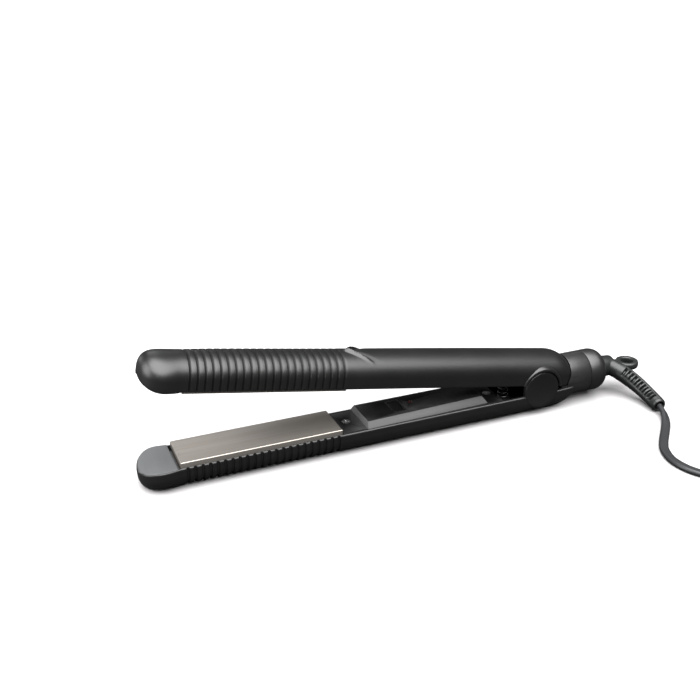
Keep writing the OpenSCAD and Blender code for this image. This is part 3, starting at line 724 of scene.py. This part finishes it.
def arch_lip(bm, sign):
    """Raised lip of the upper shell round the hinge disc."""
    section = [(11.85, 12.4), (11.85, 14.25), (12.05, 14.5), (12.5, 14.62), (13.4, 14.6),
               (14.1, 14.3), (14.9, 13.4), (15.6, 11.8), (14.5, 11.5), (12.6, 12.0)]
    start = math.radians(ARCH_START)
    narrowed = [(r - 0.25 * (r - ARCH_RADIUS), y) for r, y in section]
    profile = [Vector((HINGE.x + r * math.cos(start), sign * y, HINGE.z + r * math.sin(start)))
               for r, y in narrowed]
    verts = [bm.verts.new(p) for p in profile]
    edges = [bm.edges.new(pair) for pair in zip(verts, verts[1:] + verts[:1])]
    bmesh.ops.contextual_create(bm, geom=edges)
    made = bmesh.ops.spin(bm, geom=verts + edges, cent=HINGE, axis=(0, -1, 0),
                          angle=math.radians(188), steps=72, use_merge=False)["geom_last"]
    bmesh.ops.contextual_create(bm, geom=[e for e in made if isinstance(e, bmesh.types.BMEdge)])


def make_upper_shell():
    """Upper arm with its thumb stop, cut out round the hinge discs, and the lips of the cuts."""
    bm = bmesh.new()
    dense = [89.0 + 0.45 * k for k in range(58)]
    skin(bm, [arm_ring(x, UPPER_SIDE, UPPER_DEPTH, NO_FLAT, upper_tail, thumb_stop, 0.0, 0.75)
              for x in arm_stations(UPPER_END, dense)])
    shell = piece(bm, "upper_arm_shell", soft_touch_black, "upper_arm", TURNED_OVER,
                  ("upper_shell",), sharp=40)
    for sign in (-1, 1):
        cutter = bmesh.new()
        turned(cutter, [(HINGE.x, sign * y, HINGE.z + r)
                        for y, r in ((11.4, 0), (11.4, ARCH_RADIUS), (18, ARCH_RADIUS), (18, 0))],
               (0, 1, 0), HINGE, 96)
        bmesh.ops.remove_doubles(cutter, verts=cutter.verts, dist=1e-4)
        carve(shell, cutter, UPPER)
    bm = bmesh.new()
    for sign in (-1, 1):
        arch_lip(bm, sign)
    bmesh.ops.bisect_plane(bm, geom=bm.verts[:] + bm.edges[:] + bm.faces[:],
                           plane_co=(0, 0, RIM_GAP + 0.4), plane_no=(0, 0, -1), clear_outer=True)
    bmesh.ops.holes_fill(bm, edges=bm.edges)
    piece(bm, "hinge_arch_lips", soft_touch_black, "upper_arm", UPPER, sharp=50)


def tip_face(name, place, body, node):
    """Lid of the nose: follows the curve of the rim, with a slot before the plate."""
    bm = bmesh.new()
    margin, lift = 0.45, 0.22
    rings = []
    for k in range(15):
        t = math.sin(math.radians(89 - 89 * k / 14))
        x = WIDEST - (NOSE_RUN - margin) * t
        nose = rounded(t, NOSE_POWER)
        rings.append((x, (NOSE_HALF - margin) * nose, TIP_DROP * (1 - nose) - lift))
    rings += [(x, arm_half(x) - margin, -lift) for x in (-6.5, -5, -3.6, -1.7)]
    skin(bm, [[Vector((x, y * half, -z)) for y in (-1, -0.9, -0.6, -0.2, 0.2, 0.6, 0.9, 1)]
              + [Vector((x, y * half, -z - 1.5)) for y in (1, 0.5, -0.5, -1)]
              for x, half, z in rings])
    bmesh.ops.remove_doubles(bm, verts=bm.verts, dist=1e-4)
    round_edges(bm, 0.42, 3, 40)
    block(bm, (-2.4, -12.1, -3.8), (0.2, 12.1, -3.0))
    piece(bm, name, tip_face_grey, body, place, (node,), sharp=30)


def heated_plate(name, proud, place, body, node):
    """Coated metal plate with bevelled, polished edges."""
    half, thick = 12.7, 3
    bm = bmesh.new()
    block(bm, (0, -half, proud - thick), (PLATE_LENGTH, half, proud))
    top = [e for e in bm.edges if all(v.co.z > proud - 0.1 for v in e.verts)]
    bevel(bm, top, 0.8, 3)
    upright = [e for e in bm.edges if abs(e.verts[0].co.z - e.verts[1].co.z) > 1]
    bevel(bm, upright, 0.5, 3)
    piece(bm, name, plate_bronze, body, place, (node,), sharp=20)


def paint_light_on_slopes(obj, material):
    """Gives the sloping sides of a raised moulding a lighter grey, chosen by how steeply their
    faces tilt: painted light on the slopes.
    """
    steepest, flattest = 0.08, 0.93
    obj.data.materials.append(material)
    for face in obj.data.polygons:
        if steepest < face.normal.z < flattest and face.center.z > row(0, 0, 0).z:
            face.material_index = 1


make_lower_shell()
make_upper_shell()
tip_face("lower_tip_face", LOWER, "lower_arm", "lower_tip_cap")
tip_face("upper_tip_face", TURNED_OVER, "upper_arm", "upper_tip_cap")
heated_plate("lower_heated_plate", 2.8, LOWER, "lower_plate_unit", "lower_plate")
heated_plate("upper_heated_plate", 1.4, TURNED_OVER, "upper_plate_unit", "upper_plate")
# the sloping sides of the lower inner cover get painted light
paint_light_on_slopes(softened("lower_cover", "lower_inner_cover", 0.25, cover_black, "lower_arm"),
             platform_slope_painted_light)
softened("upper_cover", "upper_inner_cover", 0.25, cover_black, "upper_arm")
softened("switch_frame", "switch_bezel", 0.2, switch_black, "lower_arm")
softened("rocker_switch", "switch_rocker", 0.35, switch_black, "rocker", segments=3)


# ---- tail -----------------------------------------------------------------------------------

ARM_END_GAP = 0.5
CARVE_STEP = 3.38        # degrees from one place of the closing arm to the next
BOOT = [(271.0, 0.6, 2.5), (272.4, -1.6, 2.45), (273.9, -5, 1.9), (276, -9, 0.7), (279.2, -15, -2),
        (281.6, -22, -4.9), (282.6, -29, -7.2), (282.6, -36, -8.7), (282.2, -39.5, -9.3)]
SLOTS, FIRST_SLOT, SLOT_PITCH, SLOT_DEPTH = 11, 0.30, 0.058, 2.3
SLOT_TURN = 52           # degrees round the boot at which the slots are centred
ROUND = 48               # corners of a round section


def arm_end(gap):
    """The tail end of the upper arm, grown by a gap, as a solid."""
    bm = bmesh.new()
    rings = []
    for x in (214, 222, 226, 229, 231, 233, 234.5, 235.7, 236.5, 237.0, 237.3):
        drop, narrow = upper_tail(x)
        half, deep = ARM_HALF - narrow + gap, UPPER_DEPTH - drop + gap
        side_end = deep * UPPER_SIDE / UPPER_DEPTH
        rings.append([Vector((x, -half, gap)), Vector((x, half, gap))]
                     + [Vector((x, half * math.cos(a), -side_end - (deep - side_end) * math.sin(a)))
                        for a in (math.radians(9 * k) for k in range(21))])
    rings.append([p + Vector((gap, 0, 0)) for p in rings[-1]])
    skin(bm, rings)
    return bm


def make_tail():
    """Fixed ring behind the arms, cut clear of the closing upper arm, and the end cap."""
    bm = bmesh.new()
    about_tail(bm, [(11.0, 231), (12.8, 231), (12.8, 251.35), (12.62, 251.75),
                    (12.2, 251.95), (11.0, 251.95), (11.0, 231)])
    bmesh.ops.remove_doubles(bm, verts=bm.verts, dist=1e-4)
    ring = piece(bm, "tail_ring", tail_black, "lower_arm", LOWER, ("tail_collar",), sharp=40)
    for step in (0, 1, 2, 3):
        carve(ring, arm_end(ARM_END_GAP), turned_over(opened(OPEN_DEGREES - CARVE_STEP * step)))
    bm = bmesh.new()
    outline = [(11.0, 252.1), (12.2, 252.1), (12.62, 252.3), (12.8, 252.7), (12.8, 258.2)]
    outline += [(8.0 + 4.8 * math.cos(a), 258.2 + 6.6 * math.sin(a))
                for a in (math.radians(6 * k) for k in range(1, 15))]
    outline += [(7.9, 264.9), (7.4, 264.8), (7.2, 264.5), (7.1, 264.0), (7.1, 258), (11, 258),
                (11.0, 252.1)]
    about_tail(bm, outline)
    piece(bm, "tail_end_cap", tail_black, "lower_arm", LOWER, ("tail_cap",), sharp=50)


def boot_radius(s):
    """Radius of the strain relief from its root, 0, to its mouth, 1."""
    return 5.3 - 1.0 * s


def make_boot():
    """Strain relief: two rails joined by rings, with open slots between them."""
    path = smooth_path(BOOT, 14)
    total = sum((b - a).length for a, b in zip(path, path[1:]))
    travelled, rings = 0.0, []
    last = path[0]
    for p, along, side, up in path_frames(path):
        travelled += (p - last).length
        last = p
        s = travelled / total
        radius = boot_radius(s)
        u = (s - FIRST_SLOT) / SLOT_PITCH
        k = round(u)
        slot = (1 - ease((abs(u - k) - 0.20) / 0.10)) if 0 <= k < SLOTS else 0.0
        mouth = 0.45 * ease((s - 0.965) / 0.035) ** 2
        ring = []
        for j in range(ROUND):
            a = 2 * math.pi * j / ROUND
            facing = abs((math.degrees(a) - SLOT_TURN + 90) % 180 - 90)
            inside = 1 - ease((facing - 31) / 7)
            rail = 0.25 * ease((facing - 36) / 10) * (1 - ease((facing - 60) / 10))
            r = (radius - mouth - SLOT_DEPTH * slot * inside
                 + rail * ease((s - 0.2) / 0.05) * (1 - ease((s - 0.93) / 0.05)))
            ring.append(p + side * r * math.cos(a) + up * r * math.sin(a))
        rings.append(ring)
    bm = bmesh.new()
    first, end = skin(bm, rings, closed=False)
    centre, along, side, up = list(path_frames(path))[-1]
    for radius, depth in ((3.3, 0.15), (2.9, -0.4), (2.8, -5.0)):
        end = grow(bm, end, [centre + along * depth + side * radius * math.cos(a)
                             + up * radius * math.sin(a)
                             for a in (2 * math.pi * j / ROUND for j in range(ROUND))])
    for ring in (end, first):
        bmesh.ops.contextual_create(bm, geom=ring_edges(bm, ring))
    return piece(bm, "strain_relief", boot_rubber, "swivel", LOWER, ("cord_boot",), sharp=38)


def make_swivel():
    """Neck that turns in the end cap, and the hanging eye beside it."""
    bm = bmesh.new()
    about_tail(bm, [(0, 252.6), (9.3, 252.6), (9.5, 252.8), (9.5, 254.8), (9.3, 255), (6.9, 255),
                    (6.9, 264.5), (6.2, 273.2), (5.9, 274.0), (5.2, 274.4), (4.0, 274.5),
                    (0, 274.5)])
    piece(bm, "swivel_neck_moulding", boot_rubber, "swivel", LOWER, ("swivel_neck",), sharp=50)
    bm = bmesh.new()
    centre = Vector((285.2, -2.0, 2.5))
    section = [(3.8, -1.0), (4.05, -1.75), (4.7, -2.1), (6.1, -2.1), (6.75, -1.75), (7.05, -0.8),
               (7.05, 0.8), (6.75, 1.75), (6.1, 2.1), (4.7, 2.1), (4.05, 1.75), (3.8, 1.0),
               (3.8, -1.0)]
    turned(bm, [centre + Vector((r, 0, z)) for r, z in section], (0, 0, 1), centre, 72)
    block(bm, (270, -4.2, 0.85), (281.2, 3.0, 4.15))
    bmesh.ops.remove_doubles(bm, verts=bm.verts, dist=1e-4)
    web = [e for e in sharp_edges(bm, 60) if e.calc_length() > 3]
    bevel(bm, web, 0.7, 3)
    piece(bm, "hanging_eye", boot_rubber, "swivel", LOWER, ("hang_loop",), sharp=50)


def make_spring():
    """Opening spring: round wire with closed ends."""
    turns, height, wire, steps = 5.0, 12.3, 0.45, 180
    path = []
    for k in range(steps + 1):
        t = k / steps
        a = 2 * math.pi * turns * t
        rise = wire + height * (ease(t) * 0.3 + t * 0.7)
        path.append(Vector((SPRING_X + 3 * math.cos(a), 3 * math.sin(a), -5 + rise)))
    rings = [[p + side * wire * math.cos(b) + up * wire * math.sin(b)
              for b in (2 * math.pi * j / 10 for j in range(10))]
             for p, along, side, up in path_frames(path)]
    bm = bmesh.new()
    skin(bm, rings)
    spring = piece(bm, "lift_spring", spring_steel, "lower_arm", LOWER, ("opening_spring",),
                   sharp=60)
    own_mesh(spring)


make_tail()
boot = make_boot()
make_swivel()
make_spring()


# ---- plug and tie ---------------------------------------------------------------------------

PLUG = (LOWER @ Matrix.Translation(COIL_AT + Vector((24.8, -16, 10.4)))
        @ Matrix.Rotation(math.radians(-90), 4, "Z"))
PLUG_MIDDLE = 7          # height of the plug's axis
SQUARENESS = 0.62        # power that squares off the plug's round section
RELIEF_RIBS = 6


def make_plug():
    """Moulded plug with grip ribs at its sides, its ribbed strain relief, and the blades."""
    bm = bmesh.new()
    sizes = ((-8.0, 5.0, 4.1), (-7.6, 5.6, 4.5), (-5, 8.2, 5.3), (-1.5, 10.6, 6.0),
             (2.5, 11.7, 6.6), (7, 12.0, 6.95), (11, 11.9, 6.95), (14, 11.6, 6.75),
             (15.3, 11.2, 6.4), (15.85, 10.7, 6.0), (16.0, 10.1, 5.5))
    rings = []
    for x, half, tall in sizes:
        ring = []
        for k in range(ROUND):
            c, d = math.cos(2 * math.pi * k / ROUND), math.sin(2 * math.pi * k / ROUND)
            ring.append(Vector((x, math.copysign(abs(c) ** SQUARENESS, c) * half,
                                PLUG_MIDDLE + math.copysign(abs(d) ** SQUARENESS, d) * tall)))
        rings.append(ring)
    skin(bm, rings)
    for k in range(3):
        for side in (-1, 1):
            at = Matrix.Translation((4 + 3 * k, side * 11.75, PLUG_MIDDLE))
            bmesh.ops.create_cone(bm, cap_ends=True, segments=16, radius1=0.5, radius2=0.5,
                                  depth=9.0, matrix=at)
    plug = piece(bm, "plug_moulding", plug_black, "lower_arm", PLUG, ("plug_body",), sharp=50)
    bm = bmesh.new()
    outline = [(0, -29.9), (2.7, -29.9), (3.0, -29.5)]
    for k in range(RELIEF_RIBS):
        x = -28.6 + 3.3 * k
        r = 3.1 + 0.9 * (k + 0.5) / RELIEF_RIBS
        outline += [(r, x), (r + 0.05, x + 1.7), (r - 0.7, x + 2.0), (r - 0.7, x + 2.9),
                    (r + 0.1, x + 3.15)]
    outline += [(4.2, -8.0), (0, -8.0)]
    turned(bm, [(x, 0, PLUG_MIDDLE + r) for r, x in outline], (1, 0, 0), (0, 0, PLUG_MIDDLE), 48)
    relief = piece(bm, "plug_strain_relief", plug_black, "lower_arm", PLUG, ("plug_relief",),
                   sharp=35)
    blades = softened("plug_blades", "plug_contacts", 0.25, contact_brass, "lower_arm")
    return plug, relief, blades


plug, relief, blades = make_plug()
tie = softened("coil_tie", "cord_tie", 0.3, tie_black, "lower_arm")


# ---- inner parts ----------------------------------------------------------------------------

INNER = {
    "lower_cover_screws": screw_steel, "upper_cover_screws": screw_steel,
    "lower_heater": ceramic_white, "upper_heater": ceramic_white,
    "lower_carrier": heat_resin, "upper_carrier": heat_resin,
    "lower_thermal_fuse": screw_steel, "upper_thermal_fuse": screw_steel,
    "lower_cushions": cushion_red, "upper_cushions": cushion_red,
    "lower_leads": wire_jacket, "upper_leads": wire_jacket,
    "indicator_lens": lens_red, "circuit_board": board_green, "board_components": switch_black,
    "hinge_pin": screw_steel, "hinge_bushes": contact_brass, "contact_block": heat_resin,
    "slip_rings": contact_brass}
for node_name, material in INNER.items():
    for material_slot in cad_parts[node_name].material_slots:
        material_slot.material = material


# ---- studio ---------------------------------------------------------------------------------

def add_floor():
    """Pale sweep; it throws little light back on the dark mouldings."""
    bm = bmesh.new()
    bmesh.ops.create_grid(bm, x_segments=1, y_segments=1, size=6.0)
    mesh = bpy.data.meshes.new("studio_floor")
    bm.to_mesh(mesh)
    bm.free()
    material, tree, shader, place = new_material("studio_floor")
    seen = tree.nodes.new("ShaderNodeLightPath").outputs["Is Camera Ray"]
    tree.links.new(mix_colour(tree, seen, grey(0.035), grey(0.44, (1.0, 0.985, 0.99))),
                   shader.inputs["Base Color"])
    shader.inputs["Roughness"].default_value = 1.0
    shader.inputs["Specular IOR Level"].default_value = 0.0
    mesh.materials.append(material)
    floor = bpy.data.objects.new("studio_floor", mesh)
    bpy.context.scene.collection.objects.link(floor)


def lamp(name, kind, power, turn, **settings):
    """A light with its power, direction and other settings."""
    data = bpy.data.lights.new(name, kind)
    data.energy = power
    for key, value in settings.items():
        setattr(data, key, value)
    made = bpy.data.objects.new(name, data)
    made.rotation_euler = turn
    bpy.context.scene.collection.objects.link(made)
    return made


def add_studio():
    """A broad soft light overhead, weak glows behind, a box at the left, and a dim room."""
    world = bpy.data.worlds.new("studio")
    world.use_nodes = True
    background = world.node_tree.nodes["Background"]
    seen = world.node_tree.nodes.new("ShaderNodeLightPath").outputs["Is Camera Ray"]
    world.node_tree.links.new(mix_colour(world.node_tree, seen, grey(0.06), grey(1.0)),
                              background.inputs["Color"])
    bpy.context.scene.world = world
    bpy.context.scene.view_settings.view_transform = "Standard"
    lamp("overhead_light", "SUN", 10.5, (math.radians(16), 0, math.radians(-8)),
         angle=math.radians(80))
    for name, power, size, place in (("back_glow", 0.7, 0.35, (0.0, 1.0, 0.60)),
                                     ("left_box", 9.0, 0.7, (-1.0, 0.1, 0.45)),
                                     ("low_box", 0.6, 0.3, (-0.62, 0.95, 0.22))):
        box = lamp(name, "AREA", power, (0, 0, 0), shape="SQUARE", size=size)
        box.location = place
        aim = Vector((-0.07, 0, 0.03)) - box.location
        box.rotation_euler = aim.to_track_quat("-Z", "Y").to_euler()


add_floor()
add_studio()
